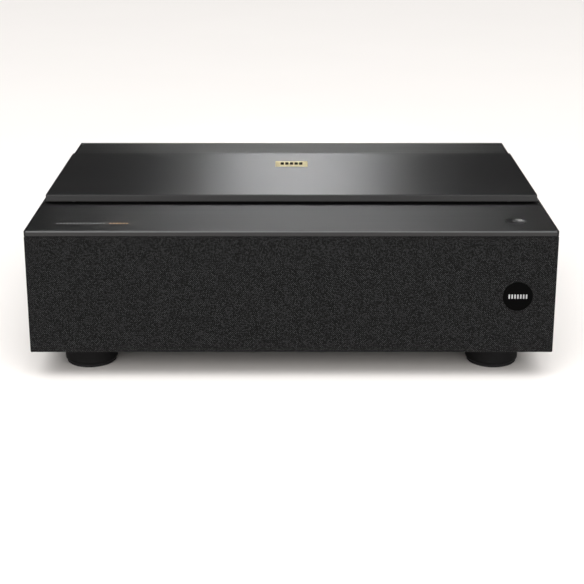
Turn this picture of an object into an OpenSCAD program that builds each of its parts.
// Ultra short throw home projector: a low box on four screw feet, with a cloth grille in front,
// brushed covers on top and a motorised lid that slides forwards off the lens well.
// Frame: +Z up, the grille faces -Y, and the origin is on the table under the middle of the body.

/* [Body] */
// Width over the side panels
body_w = 500; // [498:1:502]
// Depth from the face of the badge to the rear panel
body_d = 388; // [387:1:390]
// Height from the table to the top of the lid
body_h = 157; // [156:0.5:159]
// Gap between the table and the base pan
foot_h = 28.3; // [27.8:0.1:29]
// Wall of the side and rear panels
wall = 2.5; // [2:0.5:2.5]
// Thickness of the base pan
base_t = 3; // [2.5:0.5:3]

/* [Top covers] */
// Height of the turned-down edge of the front and rear covers
cap_h = 5; // [4.6:0.1:5.6]
// Thickness of the covers' top sheet
cap_t = 2.5; // [2:0.5:2.5]
// Depth of the fixed strip in front of the lid
strip_d = 105.2; // [104.8:0.1:105.6]
// Diameter of the power button
button_d = 20; // [18:0.5:21]

/* [Lid] */
// Depth of the sliding lid
lid_d = 189; // [188:0.5:190]
// Height of the lid's edge
lid_h = 7; // [6.8:0.1:7.2]
// Gap between the lid and the deck
lid_gap = 1.5; // [1.4:0.1:1.8]
// How far the lid stands in from each side
lid_inset = 4.6; // [4:0.1:5]
// How far the lid slides forwards
lid_travel = 100; // [90:5:100]

/* [Lid drive] */
// Gear module of the rack and pinion
gear_module = 1; // [1:1:1]
// Teeth on the pinion
pinion_teeth = 16; // [16:1:16]

/* [Feet] */
// Diameter of a foot knob
foot_d = 51.5; // [48:0.5:54]
// Distance of the feet from the middle, across
foot_x = 199.4; // [198:0.1:201]
// Distance of the feet from the middle, front to back
foot_y = 136.5; // [135:0.5:137]
// How far a foot screws out
foot_travel = 8; // [6:1:8]

/* [Optics] */
// Height of the lens axis above the table
lens_z = 88; // [87:0.5:89]
// Width of the lens well
well_w = 300; // [280:10:300]

/* [Hidden] */
$fn = 64;
half_w = body_w / 2;
front_y = -body_d / 2;
back_y = body_d / 2;
base_top = foot_h + base_t;
deck_z = body_h - lid_h - lid_gap;
cap_z = deck_z - cap_h;
sheet_z = deck_z - cap_t;
lid_z = deck_z + lid_gap;
lid_y = front_y + strip_d;
lid_back_y = lid_y + lid_d;
lap = 2;                       // how far the covers reach under the lid
deck_y = lid_y + lap;
deck_back_y = lid_back_y - lap;
grille_back_y = front_y + 12;
baffle_back_y = grille_back_y + 3;
panel_back_y = back_y - wall;
inner_x = half_w - wall;
lip_x = half_w - 0.4;          // outer face of the side panels' lips beside the covers
cover_x = half_w - 2.1;
cover_y = front_y + 1.9;       // front edge of the strip, just behind the face of the cloth

// Front
cloth_t = 0.8;
cloth_y = front_y + 0.6;
badge_r = 14.25;
badge_x = 213.8;
badge_z = 84.8;
driver_x = 168;
driver_z = 88;
driver_hole_r = 24.4;

// Well, as a section in Y and Z
well_y = lid_y + 94.5;         // front edge of the deck's opening
well_back_y = deck_back_y - 4; // back edge of the deck's opening
well_wall = 2.5;
window_low_y = well_y + 52;
window_low_z = 122.5;
window_high_z = 140;
window_tilt = atan((window_high_z - window_low_z) / (window_low_y - well_y));
well_floor_y = window_low_y + 15;
window_x = 102;

// Lid drive
rail_x = 219;
rail_w = 15;
rail_h = 10;
rail_wall = 1.5;
runner_l = 24;
runner_w = rail_w - 2 * rail_wall - 0.8;
runner_h = 7;
slot_w = 4.8;
neck_w = 3.6;
runner_offsets = [118, 168];   // runner centres behind the lid's front edge
rack_x = 191;                  // pitch line of the rack
pitch = PI * gear_module;
pinion_r = gear_module * pinion_teeth / 2;
pinion_x = rack_x + pinion_r;
pinion_y = lid_y + 66;
gear_z = cap_z - 8;
gear_h = 6;
tooth_play = 0.1;              // taken off each tooth's thickness
rack_back = 7;
rack_teeth = 41;
rack_neck_y = [142, 180];      // ends of the rack's neck behind the lid's front edge

// Projection lens and light engine
barrel_y = 34;
housing_y = 105;
housing_d = 71;
housing_x = -175;
housing_w = 217;
housing_z = 48;
housing_h = 70;
housing_wall = 3;
housing_back_y = housing_y + housing_d;
light_y = 150;
wheel_x = -150;
wheel_r = 22;
wheel_y = light_y - 16;
dmd_y = 166;
relay_r = 14.4;

// Fans
fan_side = 80;
fan_d = 25;
fan_hole_r = 37.5;
fan_y = -20;
fan_z = 88;
fan_gap = 4;

// Focus
focus_y = well_floor_y - 7.5;
focus_w = 12;

// Sockets and the bay they stand in
bay_x = [78, 182];
bay_z = [46, 74];
bay_y = panel_back_y - 3;
socket_front_y = bay_y + 0.6;
inlet_x = 214;
inlet_z = 60;

// ---------- shapes used more than once ----------

// A box given by its lowest and highest corners.
module block(low, high) {
  translate(low) cube(high - low);
}

// A cylinder along X that starts at x.
module rod_x(x, y, z, r, l) {
  translate([x, y, z]) rotate([0, 90, 0]) cylinder(r = r, h = l);
}

// A cylinder along Y that starts at y and runs backwards.
module rod_y(x, y, z, r, l) {
  translate([x, y, z]) rotate([-90, 0, 0]) cylinder(r = r, h = l);
}

// Turns a profile drawn as [radius, distance] about the Y axis, with distance running backwards.
module turn_y(x, y, z, points) {
  translate([x, y, z]) rotate([-90, 0, 0]) rotate_extrude() polygon(points);
}

// A slot with round ends that lies along X in the XY plane, cut upwards from z = 0.
module slot_x(l, w, h) {
  translate([-l / 2 + w / 2, -w / 2, 0]) cube([l - w, w, h]);
  for (side = [-1, 1]) translate([side * (l - w) / 2, 0, 0]) cylinder(d = w, h = h);
}

// ---------- casing ----------

lug_ys = [-150, 0, 150];
rear_lug_zs = [foot_h + 13, cap_z - 10];
screw_r = 1.45;

// Three lugs at the foot of a side panel and two at its back, each with a screw hole.
module side_lugs() {
  for (y = lug_ys) difference() {
    block([inner_x - 9, y - 5, base_top], [inner_x, y + 5, base_top + 10]);
    translate([inner_x - 4.5, y, base_top - 1]) cylinder(r = 1.5, h = 12);
  }
  for (z = rear_lug_zs) difference() {
    block([inner_x - 9, panel_back_y - 10, z - 5], [inner_x, panel_back_y, z + 5]);
    rod_y(inner_x - 4.5, panel_back_y - 11, z, 1.5, 12);
  }
}

louvre_rows = 12;
louvre_columns = 6;
louvre_pitch = [46, 7];

// A side panel with rows of louvre slots and a lip beside the covers, drawn for the right-hand side.
module side_panel() {
  difference() {
    block([inner_x, grille_back_y, base_top], [half_w, panel_back_y, cap_z]);
    for (i = [0 : louvre_columns - 1], j = [0 : louvre_rows - 1])
      translate([inner_x - 1, (i - (louvre_columns - 1) / 2) * louvre_pitch[0],
                 fan_z - 3 + (j - (louvre_rows - 1) / 2) * louvre_pitch[1]])
        rotate([0, 90, 0]) rotate([0, 0, 90]) slot_x(40, 3.2, wall + 2);
  }
  block([cover_x, cover_y + 0.3, cap_z], [lip_x, back_y - 0.3, deck_z - 0.2]);
  side_lugs();
}

module left_side_panel() {
  color("#1a1a1c") mirror([1, 0, 0]) side_panel();
}

module right_side_panel() {
  color("#1a1a1c") side_panel();
}

mount_spacing = [300, 200];
insert_flange_r = 9;

// Bottom tray: a plate with holes for the foot inserts, bracket inserts, screws and intake slots.
module base_pan() {
  color("#202022") difference() {
    block([-half_w, grille_back_y, foot_h], [half_w, back_y, base_top]);
    for (sx = [-1, 1], sy = [-1, 1]) {
      translate([sx * foot_x, sy * foot_y, foot_h - 1]) cylinder(r = 7, h = base_t + 2);
      translate([sx * mount_spacing[0] / 2, sy * mount_spacing[1] / 2, foot_h - 1])
        cylinder(r = 3.5, h = base_t + 2);
    }
    for (side = [-1, 1], y = lug_ys) translate([side * (inner_x - 4.5), y, foot_h - 1]) {
      cylinder(r = 3.2, h = 2.8);
      cylinder(r = 1.6, h = base_t + 2);
    }
    for (i = [-4 : 4], side = [-1, 1])
      translate([side * 60, i * 8, foot_h - 1]) slot_x(70, 3, base_t + 2);
  }
}

// Brass inserts: four that the feet screw into, and four M4 ones for a ceiling bracket.
module threaded_inserts() {
  color("#b08d45") for (sx = [-1, 1], sy = [-1, 1]) {
    translate([sx * foot_x, sy * foot_y, 0]) difference() {
      union() {
        translate([0, 0, foot_h]) cylinder(r = 7, h = 15);
        translate([0, 0, base_top]) cylinder(r = insert_flange_r, h = 2);
      }
      translate([0, 0, foot_h - 1]) cylinder(r = 4, h = 17);
    }
    translate([sx * mount_spacing[0] / 2, sy * mount_spacing[1] / 2, 0]) difference() {
      union() {
        translate([0, 0, foot_h]) cylinder(r = 3.5, h = 10);
        translate([0, 0, base_top]) cylinder(r = 6, h = 1.5);
      }
      translate([0, 0, foot_h - 1]) cylinder(r = 2.05, h = 9);
    }
  }
}

vent_rows = 9;

// Rear panel with the socket bay, the inlet cut-out and two fields of vent slots.
module rear_panel() {
  color("#1a1a1c") difference() {
    block([-half_w, panel_back_y, base_top], [half_w, back_y, cap_z]);
    block([bay_x[0], panel_back_y - 1, bay_z[0]], [bay_x[1], back_y + 1, bay_z[1]]);
    block([inlet_x - 14, panel_back_y - 1, inlet_z - 10], [inlet_x + 14, back_y + 1, inlet_z + 10]);
    for (x = [-185, -125, -65], j = [0 : vent_rows - 1])
      translate([x, panel_back_y - 1, 60 + j * 7]) rotate([-90, 0, 0]) slot_x(50, 3.2, wall + 2);
    for (side = [-1, 1], z = rear_lug_zs) {
      rod_y(side * (inner_x - 4.5), panel_back_y - 1, z, 1.6, wall + 2);
      rod_y(side * (inner_x - 4.5), back_y - 1.5, z, 3.2, 2);
    }
  }
}

hdmi_xs = [91, 112];
usb_xs = [131, 147.5];
lan_x = 168;
port_z = 58;

// Metal plate behind the bay, pierced for each socket.
module io_plate() {
  color("#3c3c40") difference() {
    block([bay_x[0] - 3, bay_y - 1.2, bay_z[0] - 3], [bay_x[1] + 3, bay_y, bay_z[1] + 3]);
    for (x = hdmi_xs) block([x - 8, bay_y - 2, port_z - 3.3], [x + 8, bay_y + 1, port_z + 3.3]);
    for (x = usb_xs) block([x - 7.2, bay_y - 2, port_z - 3.6], [x + 7.2, bay_y + 1, port_z + 3.6]);
    block([lan_x - 8, bay_y - 2, port_z - 6.7], [lan_x + 8, bay_y + 1, port_z + 6.7]);
  }
}

// Screws: six up through the base pan and four through the rear panel.
module case_screws() {
  color("#101010") {
    for (side = [-1, 1], y = lug_ys) translate([side * (inner_x - 4.5), y, foot_h + 0.2]) {
      cylinder(r = 2.8, h = 1.6);
      cylinder(r = screw_r, h = 9);
    }
    for (side = [-1, 1], z = rear_lug_zs) {
      rod_y(side * (inner_x - 4.5), panel_back_y - 7, z, screw_r, wall + 6);
      rod_y(side * (inner_x - 4.5), back_y - 1.5, z, 2.8, 1.3);
    }
  }
}

// ---------- front ----------

// Board behind the grille that carries the speaker drivers.
module front_baffle() {
  color("#151515") difference() {
    block([-inner_x, grille_back_y, base_top], [inner_x, baffle_back_y, cap_z]);
    for (side = [-1, 1])
      rod_y(side * driver_x, grille_back_y - 1, driver_z, driver_hole_r, 5);
  }
}

grille_x = half_w - 1;
grille_z = [foot_h + cloth_t, cap_z - 0.9];
rib_xs = [for (i = [-5 : 5]) i * 45];

// Frame that the cloth is stretched over: a rim, thin ribs and a boss for the badge.
module grille_frame() {
  rim = 8;
  frame_y = cloth_y + cloth_t;
  color("#101012") {
    difference() {
      block([-grille_x, frame_y, grille_z[0]], [grille_x, grille_back_y, grille_z[1]]);
      block([-grille_x + rim, frame_y - 1, grille_z[0] + rim],
            [grille_x - rim, grille_back_y + 1, grille_z[1] - rim]);
    }
    for (x = rib_xs)
      block([x - 1.2, frame_y + 3, grille_z[0] + rim], [x + 1.2, grille_back_y, grille_z[1] - rim]);
    for (z = [68, 105])
      block([-grille_x + rim, frame_y + 4, z - 1.2], [grille_x - rim, grille_back_y, z + 1.2]);
    rod_y(badge_x, frame_y, badge_z, 17, 3.5);
  }
}

// Speaker cloth, wrapped round the frame's front and edges.
module grille_cloth() {
  color("#26262a") difference() {
    block([-grille_x - cloth_t, cloth_y, grille_z[0] - cloth_t],
          [grille_x + cloth_t, cloth_y + 9, grille_z[1] + cloth_t]);
    block([-grille_x, cloth_y + cloth_t, grille_z[0]], [grille_x, cloth_y + 10, grille_z[1]]);
    rod_y(badge_x, cloth_y - 1, badge_z, badge_r - 1.2, 3);
  }
}

// Round badge whose back sits in a hole in the cloth.
module badge_disc() {
  color("#050505") turn_y(badge_x, front_y, badge_z, [
    [0, 0], [badge_r - 0.25, 0], [badge_r, 0.25], [badge_r, 0.6],
    [badge_r - 1.3, 0.6], [badge_r - 1.3, 1.4], [0, 1.4]
  ]);
}

// ---------- top ----------

// A cover with a turned-down edge on three sides and a bevelled outer edge; its open side faces +Y.
module cover(d) {
  bevel = 1.3;
  skirt = 2;
  difference() {
    translate([-cover_x, 0, 0]) rotate([90, 0, 90]) linear_extrude(2 * cover_x)
      polygon([[0, cap_z], [0, deck_z - bevel], [bevel, deck_z], [d, deck_z], [d, cap_z]]);
    block([-cover_x + skirt, skirt, cap_z - 1], [cover_x - skirt, d + 1, sheet_z]);
  }
}

button_x = 214;
button_y = front_y + 36.1;

// Fixed front strip with the hole for the power button.
module top_front_panel() {
  color("#3a3a3d") difference() {
    translate([0, cover_y, 0]) cover(deck_y - cover_y);
    translate([button_x, button_y, sheet_z - 1]) cylinder(d = button_d + 0.6, h = cap_t + 2);
  }
}

rib_y = back_y - 7;

module rear_top_panel() {
  color("#3b3837") {
    translate([0, back_y, 0]) mirror([0, 1, 0]) cover(back_y - deck_back_y);
    block([-cover_x + 1, rib_y - 2.5, cap_z], [cover_x - 1, rib_y, sheet_z + 0.5]);
  }
}

slot_ys = [lid_y + runner_offsets[0] - lid_travel - 14, lid_y + runner_offsets[1] + 14];
rack_slot_ys = [lid_y + rack_neck_y[0] - lid_travel - 2, lid_y + rack_neck_y[1] + 2];
sensor_x = 167;
sensor_y = well_back_y - 18;
sensor_r = 4.5;

// Deck under the lid, open over the well and slotted for the lid's runners and rack.
module top_deck() {
  color("#141416") difference() {
    union() {
      block([-cover_x, deck_y, sheet_z], [cover_x, deck_back_y, deck_z]);
      for (side = [-1, 1])
        block([side * (cover_x - 1) - 1, deck_y, cap_z], [side * (cover_x - 1) + 1, deck_back_y, sheet_z]);
    }
    block([-well_w / 2 + 4, well_y, sheet_z - 1], [well_w / 2 - 4, well_back_y, deck_z + 1]);
    for (side = [-1, 1])
      block([side * rail_x - slot_w / 2, slot_ys[0], sheet_z - 1],
            [side * rail_x + slot_w / 2, slot_ys[1], deck_z + 1]);
    block([rack_x - rack_back / 2 - slot_w / 2 - 1, rack_slot_ys[0], sheet_z - 1],
          [rack_x - rack_back / 2 + slot_w / 2 - 1, rack_slot_ys[1], deck_z + 1]);
    for (side = [-1, 1])
      translate([side * sensor_x, sensor_y, sheet_z - 1]) cylinder(r = sensor_r + 0.1, h = cap_t + 2);
  }
}

// Sensors that dim the laser when someone leans over the lens.
module presence_sensors() {
  color("#301014") for (side = [-1, 1]) translate([side * sensor_x, sensor_y, 0]) {
    translate([0, 0, sheet_z - 5]) cylinder(r = sensor_r, h = cap_t + 5);
    translate([0, 0, sheet_z - 5]) cylinder(r = sensor_r + 1.5, h = 5);
  }
}

focus_slot_w = 40;

// Tray round the projection window: a tilted seat for the glass, a floor and a sloping back.
module lens_well() {
  color("#0d0d0f") difference() {
    translate([-well_w / 2, 0, 0]) rotate([90, 0, 90]) linear_extrude(well_w)
      polygon([[well_y - 4, sheet_z], [well_y - 4, window_high_z - 4],
               [window_low_y, window_low_z - 3.5], [well_floor_y, window_low_z - 3.5],
               [well_back_y + 3.5, sheet_z]]);
    translate([-well_w / 2 + 4, 0, 0]) rotate([90, 0, 90]) linear_extrude(well_w - 8)
      polygon([[well_y, sheet_z + 1], [well_y, window_high_z],
               [window_low_y, window_low_z], [well_floor_y - 1, window_low_z],
               [well_back_y, sheet_z], [well_back_y, sheet_z + 1]]);
    block([-window_x + 5, well_y + 5, window_low_z - 8], [window_x - 5, window_low_y - 6, sheet_z]);
    block([-focus_slot_w / 2, focus_y - 4.5, window_low_z - 8],
          [focus_slot_w / 2, focus_y + 4.5, window_low_z + 1]);
  }
}

// Clear window that lies on the well's tilted seat.
module well_window() {
  color([0.75, 0.8, 0.85, 0.35])
    translate([0, window_low_y, window_low_z]) rotate([-window_tilt, 0, 0])
      block([-window_x, -51, 0.02], [window_x, -2, 2.2]);
}

// ---------- lid and its drive ----------

// Brushed lid: a top sheet with a skirt all round and bevelled edges.
module lid_panel() {
  skirt = 2;
  sheet = 2;
  bevel = 0.8;
  lid_half = half_w - lid_inset;
  color("#3a3a3d") difference() {
    translate([-lid_half, 0, 0]) rotate([90, 0, 90]) linear_extrude(2 * lid_half)
      polygon([[lid_y, lid_z], [lid_y, body_h - bevel], [lid_y + bevel, body_h],
               [lid_back_y - bevel, body_h], [lid_back_y, body_h - bevel], [lid_back_y, lid_z]]);
    block([-lid_half + skirt, lid_y + skirt, lid_z - 1],
          [lid_half - skirt, lid_back_y - skirt, body_h - sheet]);
    block([-badge_plate[0] / 2, badge_plate_y, body_h - 0.4],
          [badge_plate[0] / 2, badge_plate_y + badge_plate[1], body_h + 1]);
  }
}

badge_plate = [35.2, 26];
badge_plate_y = lid_y + 122.5;

// Small plate let into the lid.
module lid_badge() {
  color("#c9a13a")
    block([-badge_plate[0] / 2 + 0.1, badge_plate_y + 0.1, body_h - 0.4],
          [badge_plate[0] / 2 - 0.1, badge_plate_y + badge_plate[1] - 0.1, body_h - 0.05]);
}

runner_z = sheet_z - rail_h + rail_wall + 0.4;
liner_z = [body_h - 4.6, body_h - 2];

// Plastic liner inside the lid, with four runners on necks that hang in the rails.
module lid_liner() {
  color("#1c1c1e") {
    block([-half_w + lid_inset + 2.2, lid_y + 2.2, liner_z[0]],
          [half_w - lid_inset - 2.2, lid_back_y - 2.2, liner_z[1]]);
    for (side = [-1, 1], offset = runner_offsets) translate([side * rail_x, lid_y + offset, 0]) {
      block([-neck_w / 2, -runner_l / 2 + 1, runner_z], [neck_w / 2, runner_l / 2 - 1, liner_z[0] + 1]);
      block([-runner_w / 2, -runner_l / 2, runner_z], [runner_w / 2, runner_l / 2, runner_z + runner_h]);
    }
  }
}

// Two channels under the deck.
module lid_rails() {
  color("#8a8a90") for (side = [-1, 1]) translate([side * rail_x, 0, sheet_z - rail_h]) difference() {
    block([-rail_w / 2, slot_ys[0] - 3, 0], [rail_w / 2, slot_ys[1] + 3, rail_h]);
    block([-rail_w / 2 + rail_wall, slot_ys[0], rail_wall],
          [rail_w / 2 - rail_wall, slot_ys[1], rail_h + 1]);
  }
}

// Half-width of a rack tooth at height h above the pitch line, for a 20 degree flank.
function rack_half(h) = pitch / 4 - tooth_play / 2 - h * tan(20);

// Corner points of one rack tooth centred on u, as [outwards, along].
function rack_tooth(u) = [
  [-1.2, u - rack_half(-1.2)], [0.95, u - rack_half(0.95)],
  [0.95, u + rack_half(0.95)], [-1.2, u + rack_half(-1.2)]
];

// Toothed rack whose neck passes up through the deck to the liner.
module lid_rack() {
  first = -4.5;                // the first tooth's place, in pitches from the pinion
  start = pinion_y + (first - 1) * pitch;
  end = pinion_y + (first + rack_teeth) * pitch;
  teeth = [for (i = [0 : rack_teeth - 1]) each rack_tooth(pinion_y + (first + i) * pitch)];
  color("#d8d8d4") {
    translate([rack_x, 0, gear_z]) linear_extrude(gear_h)
      polygon(concat([[-rack_back, start], [-1.2, start]], teeth, [[-1.2, end], [-rack_back, end]]));
    block([rack_x - rack_back / 2 - neck_w / 2 - 1, lid_y + rack_neck_y[0], gear_z],
          [rack_x - rack_back / 2 + neck_w / 2 - 1, lid_y + rack_neck_y[1], liner_z[0]]);
  }
}

// A point on the involute of base radius rb, at roll angle t in degrees.
function involute(rb, t) = let (a = t * PI / 180)
  [rb * (cos(t) + a * sin(t)), rb * (sin(t) - a * cos(t))];
function turned(p, a) = [p[0] * cos(a) - p[1] * sin(a), p[0] * sin(a) + p[1] * cos(a)];

base_r = pinion_r * cos(20);
tip_r = pinion_r + 0.95 * gear_module;
root_r = pinion_r - 1.2 * gear_module;
tip_roll = sqrt(pow(tip_r / base_r, 2) - 1) * 180 / PI;
pitch_roll = tan(20) * 180 / PI;
flank_angle = pitch_roll - 20; // polar angle of the involute where it crosses the pitch circle
half_tooth = (pitch / 2 - tooth_play) / 2 / pinion_r * 180 / PI;
flank_steps = 4;

// Outline of one pinion tooth about the +X axis, from root to tip and back.
function pinion_flank() = [for (i = [0 : flank_steps])
  turned(involute(base_r, tip_roll * i / flank_steps), -half_tooth - flank_angle)];
function pinion_tooth(a) = let (flank = pinion_flank(), foot = -half_tooth - flank_angle)
  concat([turned([root_r, 0], a + foot)], [for (p = flank) turned(p, a)],
         [for (i = [flank_steps : -1 : 0]) turned([flank[i][0], -flank[i][1]], a)],
         [turned([root_r, 0], a - foot)]);

// Motor pinion with its shaft; one tooth points at the rack's space.
module lid_pinion() {
  color("#e4e2da") translate([pinion_x, pinion_y, gear_z]) {
    linear_extrude(gear_h)
      polygon([for (i = [0 : pinion_teeth - 1]) each pinion_tooth(i * 360 / pinion_teeth)]);
    translate([0, 0, -7]) cylinder(r = 1.5, h = 7);
  }
}

// Gear motor on two posts under the deck.
module lid_motor() {
  motor_top = gear_z - 1;
  color("#9a9a9e") translate([pinion_x, pinion_y, 0]) {
    difference() {
      union() {
        translate([0, 0, motor_top - 30]) cylinder(d = 24, h = 30);
        translate([-4, -19, motor_top - 2]) cube([8, 38, 2]);
        for (side = [-1, 1]) translate([0, side * 15.5, motor_top - 2])
          cylinder(r = 2.6, h = sheet_z - motor_top + 2);
      }
      translate([0, 0, motor_top - 7]) cylinder(r = 1.55, h = 8);
    }
  }
}

// Round push button with a dished top and a flange that stays under the cover.
module power_button() {
  dish_r = 34;
  color("#2b2b2e") translate([button_x, button_y, 0]) {
    difference() {
      translate([0, 0, sheet_z - 1.4]) cylinder(d = button_d, h = cap_t + 1.2);
      translate([0, 0, deck_z - 1.5 + dish_r]) sphere(r = dish_r);
    }
    translate([0, 0, sheet_z - 2.2]) cylinder(d = button_d + 4, h = 2);
    translate([0, 0, cap_z - 6]) cylinder(r = 3, h = 7);
  }
}

// ---------- sockets ----------

// Mains inlet: a square-mouthed cavity with three flat pins.
module power_inlet() {
  back = back_y - 24;
  cavity = back_y - 17;
  color("#0c0c0c") translate([inlet_x, 0, inlet_z]) {
    difference() {
      block([-13.9, back, -9.9], [13.9, back_y, 9.9]);
      block([-12, cavity, -8.2], [12, back_y + 1, 8.2]);
    }
    for (pin = [[-7, -2.2], [7, -2.2], [0, 3.8]])
      block([pin[0] - 1, cavity - 1, pin[1] - 2], [pin[0] + 1, back_y - 2, pin[1] + 2]);
  }
}

// A socket shell open towards +Y, with a tongue inside.
module shell_socket(w, h, skin, tongue_w, tongue_h, tongue_z) {
  depth = 12;
  difference() {
    block([-w / 2, -depth, -h / 2], [w / 2, 0, h / 2]);
    block([-w / 2 + skin, -depth + 1, -h / 2 + skin], [w / 2 - skin, 1, h / 2 - skin]);
  }
  if (tongue_w > 0)
    block([-tongue_w / 2, -depth + 0.5, tongue_z - tongue_h / 2],
          [tongue_w / 2, -2, tongue_z + tongue_h / 2]);
}

module hdmi_sockets() {
  color("#b9b9bd") for (x = hdmi_xs)
    translate([x, socket_front_y, port_z]) shell_socket(15.8, 6.4, 0.8, 11, 1, 0.3);
}

module usb_sockets() {
  color("#b9b9bd") for (x = usb_xs)
    translate([x, socket_front_y, port_z]) shell_socket(14.2, 7, 0.7, 11, 1.8, 1.4);
}

module lan_socket() {
  color("#b9b9bd") translate([lan_x, socket_front_y, port_z]) shell_socket(15.8, 13.2, 1.9, 0, 0, 0);
}

// ---------- electronics ----------

// Control board standing on three legs behind the bay, with chips and a finned cooler.
module main_board() {
  board_y = socket_front_y - 12 - 1.6;
  color("#1d5a34") {
    block([72, board_y, 36], [192, board_y + 1.6, 112]);
    for (x = [78, 130, 184]) block([x - 3, board_y - 4, base_top], [x + 3, board_y, 46]);
    for (i = [0 : 7]) block([100 + i * 5, board_y - 12, 76], [102 + i * 5, board_y - 3, 104]);
    block([98, board_y - 3, 74], [139, board_y, 106]);
    for (x = [150, 168]) block([x, board_y - 2, 84], [x + 12, board_y, 98]);
  }
}

// Supply board on four legs, with transformer, capacitors and coolers.
module power_supply() {
  low = base_top + 5;
  color("#b9a24a") {
    block([92, -88, low], [212, 96, low + 1.6]);
    for (x = [97, 207], y = [-83, 91]) translate([x, y, base_top]) cylinder(r = 3, h = 6);
    block([110, -20, low + 1], [146, 16, low + 32]);
    for (i = [0 : 2]) translate([190, 40 + i * 22, low + 1]) cylinder(r = 9, h = 34);
    for (y = [-70, -45]) block([100, y, low + 1], [180, y + 3, low + 30]);
    block([110, 50, low + 1], [150, 80, low + 22]);
  }
}

// ---------- sound ----------

// Two boxes, each open at the front where the baffle closes it.
module speaker_boxes() {
  skin = 2.5;
  color("#17171a") for (side = [-1, 1]) translate([side * driver_x, baffle_back_y, 0]) difference() {
    block([-64, 0, 50], [64, 62, 130]);
    block([-64 + skin, -1, 50 + skin], [64 - skin, 62 - skin, 130 - skin]);
  }
}

// Steel baskets with their magnets, behind the baffle.
module driver_baskets() {
  color("#3a3a3e") for (side = [-1, 1]) turn_y(side * driver_x, baffle_back_y, driver_z, [
    [21.5, 0.02], [29, 0.02], [29, 2], [26, 2], [16.5, 19], [16.5, 21], [18, 21], [18, 33], [0, 33],
    [0, 17], [5.4, 17], [5.4, 30], [7.6, 30], [7.6, 19], [14.6, 19], [24, 2], [21.5, 2]
  ]);
}

// Paper cone with its surround, dust cap and voice coil tube.
module speaker_cone(side) {
  color("#202226") turn_y(side * driver_x, grille_back_y, driver_z, [
    [0, 5.5], [3, 5.7], [7, 8], [19.6, 1.3], [20.2, 1.1], [21.3, 0.9], [22.4, 1.1], [22.9, 1.4],
    [23.6, 1.4], [23.6, 1.8], [22.7, 1.8], [22, 1.6], [20.8, 1.6], [20, 2.1],
    [7, 9.2], [7, 27], [6.3, 27], [6.3, 9], [2.8, 6.3], [0, 6.1]
  ]);
}

module left_cone() {
  speaker_cone(-1);
}

module right_cone() {
  speaker_cone(1);
}

// ---------- light engine ----------

// Cast tray for the optics, open on top, with its legs and the windows for light and lens.
module engine_housing() {
  x1 = housing_x + housing_w;
  color("#6a6c70") {
    difference() {
      block([housing_x, housing_y, housing_z], [x1, housing_back_y, housing_z + housing_h]);
      block([housing_x + housing_wall, housing_y + housing_wall, housing_z + housing_wall],
            [x1 - housing_wall, housing_back_y - housing_wall, housing_z + housing_h + 1]);
      rod_y(0, housing_y - 1, lens_z, 24.1, housing_wall + 2);
      rod_y(-130, housing_y - 1, lens_z, 9, housing_wall + 2);
      block([-15, housing_back_y - 5, 72], [15, housing_back_y + 1, 104]);
    }
    for (x = [housing_x + 8, x1 - 8], y = [housing_y + 8, housing_back_y - 8])
      translate([x, y, base_top]) cylinder(r = 5, h = housing_z - base_top + 1);
    for (p = [[-130, 10], [-82, 4], [-50, relay_r], [-34, relay_r], [0, 14]])
      block([p[0] - 2, light_y - 4, housing_z + 1], [p[0] + 2, light_y + 4, lens_z - p[1]]);
  }
}

module engine_cover() {
  color("#54565a") {
    block([housing_x, housing_y, housing_z + housing_h],
          [housing_x + housing_w, housing_back_y, housing_z + housing_h + 2]);
    for (i = [0 : 9])
      block([-150 + i * 18, housing_y + 10, housing_z + housing_h + 1.5],
            [-148 + i * 18, housing_back_y - 10, housing_z + housing_h + 7]);
  }
}

// Finned cooler for the laser bank, in the intake fan's draught.
module laser_heatsink() {
  color("#a9abb0") {
    block([-208, 24, 45], [-118, 30, 124]);
    for (i = [0 : 12]) block([-208 + i * 7.3, -66, 45], [-206.4 + i * 7.3, 25, 124]);
    for (x = [-200, -126]) block([x - 3, 24, base_top], [x + 3, 30, 46]);
  }
}

// Laser bank and the duct that leads its light to the housing.
module laser_module() {
  color("#8c6f3a") difference() {
    union() {
      block([-200, 30, 62], [-112, 52, 112]);
      block([-146, 51, 74], [-114, housing_y, 102]);
    }
    rod_y(-130, 45, lens_z, 9, housing_y - 44);
  }
}

// Points of a lens face from its rim to its middle, as [radius, height above the rim].
function lens_arc(r, bulge_r) = let (rim = asin(r / bulge_r), steps = 6)
  [for (i = [steps : -1 : 0])
    [bulge_r * sin(rim * i / steps), bulge_r * (cos(rim * i / steps) - cos(rim))]];

// Glass parts: dichroic plate, light tunnel, two relay lenses and the prism.
module relay_optics() {
  color([0.7, 0.8, 0.85, 0.5]) {
    translate([-130, light_y, lens_z]) rotate([0, 0, 45]) cube([24, 1.2, 20], center = true);
    difference() {
      block([-104, light_y - 5, lens_z - 4], [-60, light_y + 5, lens_z + 4]);
      block([-105, light_y - 4, lens_z - 3], [-59, light_y + 4, lens_z + 3]);
    }
    for (x = [-50, -34]) translate([x, light_y, lens_z]) rotate([0, 90, 0]) rotate_extrude()
      polygon(concat([[0, -2], [relay_r, -2]], lens_arc(relay_r, 30)));
    block([-14, light_y - 14, lens_z - 14], [14, light_y + 14, lens_z + 14]);
  }
}

// Imaging chip on its board behind the housing, with a comb of cooling fins.
module dmd_board() {
  color("#22603c") {
    block([-34, housing_back_y, 60], [34, housing_back_y + 1.6, 114]);
    block([-13, dmd_y, 74], [13, housing_back_y + 1, 102]);
    for (i = [-4 : 4]) block([i * 7 - 1, housing_back_y + 1, 66], [i * 7 + 1, panel_back_y - 3, 108]);
  }
}

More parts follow.
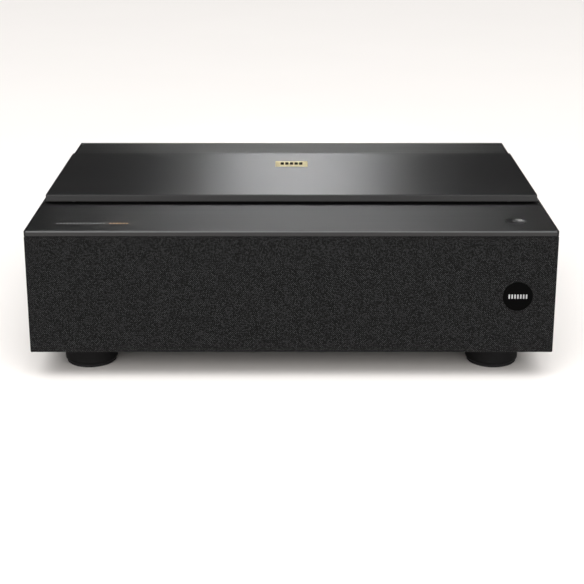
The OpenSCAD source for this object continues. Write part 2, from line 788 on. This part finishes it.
// Motor of the phosphor wheel, on a foot.
module wheel_motor() {
  color("#4a4a50") difference() {
    union() {
      rod_x(housing_x + housing_wall, wheel_y, lens_z, 10, 16);
      block([housing_x + housing_wall, wheel_y - 6, housing_z + housing_wall],
            [housing_x + housing_wall + 10, wheel_y + 6, lens_z]);
    }
    rod_x(housing_x + housing_wall + 8, wheel_y, lens_z, 1.55, 10);
  }
}

// Coated wheel with its hub and shaft.
module phosphor_wheel() {
  color("#e6d23c") {
    rod_x(wheel_x - 1.5, wheel_y, lens_z, wheel_r, 1.5);
    rod_x(wheel_x - 4.5, wheel_y, lens_z, 6, 7);
    rod_x(wheel_x - 13, wheel_y, lens_z, 1.5, 10);
  }
}

// ---------- projection lens ----------

// Lens barrel with its flange on the housing's front wall.
module lens_barrel() {
  length = housing_y + 14 - barrel_y;
  flange = housing_y - barrel_y;
  color("#18181a") turn_y(0, barrel_y, lens_z, [
    [24, 0], [27, 0], [27, flange - 6], [34, flange - 6], [34, flange], [24, flange], [24, length],
    [21, length], [21, 40], [24, 40]
  ]);
}

lever_r = 45;

// Focus ring round the barrel, with a lever that stands up through the well's floor.
module focus_ring() {
  color("#2a2a2c") {
    turn_y(0, focus_y - focus_w / 2, lens_z, [[27.05, 0], [30, 0], [30, focus_w], [27.05, focus_w]]);
    block([-2.5, focus_y - 2.5, lens_z + 29], [2.5, focus_y + 2.5, lens_z + lever_r]);
    rod_y(0, focus_y - 3.5, lens_z + lever_r, 4, 7);
  }
}

// Sliding cell that carries the front glass.
module focus_cell() {
  color("#303033") turn_y(0, barrel_y + 6, lens_z, [
    [19, 0], [23.95, 0], [23.95, 24], [21.5, 24], [21.5, 4], [19, 4]
  ]);
}

module focus_lens() {
  color([0.6, 0.7, 0.85, 0.4]) translate([0, barrel_y + 10.02, lens_z]) intersection() {
    rod_y(0, 0, 0, 21.4, 12);
    translate([0, 36, 0]) sphere(r = 36);
  }
}

// Block with a hollowed mirror face that throws the picture up and back.
module aspheric_mirror() {
  bowl_r = 120;
  color("#c8ccd2") difference() {
    union() {
      block([-55, -52, 64], [55, -16, 138]);
      for (x = [-45, 45]) block([x - 5, -46, base_top], [x + 5, -22, 65]);
    }
    translate([0, 94, 98]) sphere(r = bowl_r);
  }
}

// ---------- fans ----------

// Square fan frame with three struts that hold the motor cup, drawn about the Z axis.
module fan_frame() {
  half = fan_side / 2;
  difference() {
    block([-half, -half, 0], [half, half, fan_d]);
    translate([0, 0, -1]) cylinder(r = fan_hole_r, h = fan_d + 2);
    for (x = [-1, 1], y = [-1, 1]) translate([x * 35.5, y * 35.5, -1]) cylinder(r = 2.1, h = fan_d + 2);
  }
  difference() {
    union() {
      cylinder(r = 15, h = 3);
      for (a = [30, 150, 270]) rotate(a) block([13, -2, 0], [fan_hole_r + 1, 2, 3]);
      cylinder(r = 4, h = 14);
    }
    translate([0, 0, 4]) cylinder(r = 1.55, h = 12);
  }
}

blades = 7;

// Fan rotor with its hub cup, pitched blades and pin, drawn about the Z axis.
module fan_rotor() {
  difference() {
    translate([0, 0, 5]) cylinder(r = 16, h = 18);
    translate([0, 0, 4]) cylinder(r = 14, h = 17);
  }
  translate([0, 0, 5]) cylinder(r = 1.5, h = 17);
  intersection() {
    for (i = [0 : blades - 1]) rotate(i * 360 / blades)
      translate([15, 0, 14]) rotate([38, 0, 0]) translate([0, -11, -0.7]) cube([24, 22, 1.4]);
    translate([0, 0, 5]) cylinder(r = 36.3, h = 18);
  }
}

module place_fan(side) {
  translate([side * (inner_x - fan_gap), fan_y, fan_z]) rotate([0, -90 * side, 0]) children();
}

module intake_fan_frame() {
  color("#161618") place_fan(-1) fan_frame();
}

module exhaust_fan_frame() {
  color("#161618") place_fan(1) fan_frame();
}

module intake_fan_rotor() {
  color("#242426") place_fan(-1) fan_rotor();
}

module exhaust_fan_rotor() {
  color("#242426") place_fan(1) fan_rotor();
}

// ---------- feet ----------

pad_h = 3;
pad_r = 24.2;
pivot_r = 5;

// Knob that is turned by hand, with its threaded stud.
module foot_knob(sx, sy) {
  top = foot_h - 1.5;
  low = pad_h + 0.1;
  color("#141416") translate([sx * foot_x, sy * foot_y, 0]) difference() {
    union() {
      rotate_extrude() polygon([
        [0, low], [foot_d / 2 - 1.2, low], [foot_d / 2, low + 1.6], [foot_d / 2, top - 1],
        [foot_d / 2 - 1, top], [0, top]
      ]);
      translate([0, 0, top - 1]) cylinder(r = 3.95, h = 18);
    }
    translate([0, 0, low - 1]) cylinder(r = pivot_r + 0.05, h = 5.6);
  }
}

// Rubber pad that stays still on the table while the knob turns on its pivot.
module foot_pad(sx, sy) {
  color("#0a0a0a") translate([sx * foot_x, sy * foot_y, 0]) {
    rotate_extrude() polygon([[0, 0], [pad_r - 1, 0], [pad_r, 1], [pad_r, pad_h], [0, pad_h]]);
    translate([0, 0, pad_h - 0.5]) cylinder(r = pivot_r, h = 4.8);
  }
}

base_pan();
threaded_inserts();
left_side_panel();
right_side_panel();
rear_panel();
io_plate();
front_baffle();
grille_frame();
grille_cloth();
badge_disc();
top_front_panel();
top_deck();
rear_top_panel();
lens_well();
well_window();
presence_sensors();
lid_rails();
lid_motor();
case_screws();
power_inlet();
hdmi_sockets();
usb_sockets();
lan_socket();
main_board();
power_supply();
speaker_boxes();
driver_baskets();
engine_housing();
engine_cover();
laser_heatsink();
laser_module();
relay_optics();
dmd_board();
wheel_motor();
lens_barrel();
aspheric_mirror();
intake_fan_frame();
exhaust_fan_frame();
lid_panel();
lid_liner();
lid_rack();
lid_badge();
lid_pinion();
power_button();
focus_ring();
focus_cell();
focus_lens();
phosphor_wheel();
intake_fan_rotor();
exhaust_fan_rotor();
left_cone();
right_cone();
foot_knob(-1, -1);  // front_left_foot
foot_knob(1, -1);  // front_right_foot
foot_knob(-1, 1);  // rear_left_foot
foot_knob(1, 1);  // rear_right_foot
foot_pad(-1, -1);  // front_left_foot_pad
foot_pad(1, -1);  // front_right_foot_pad
foot_pad(-1, 1);  // rear_left_foot_pad
foot_pad(1, 1);  // rear_right_foot_pad
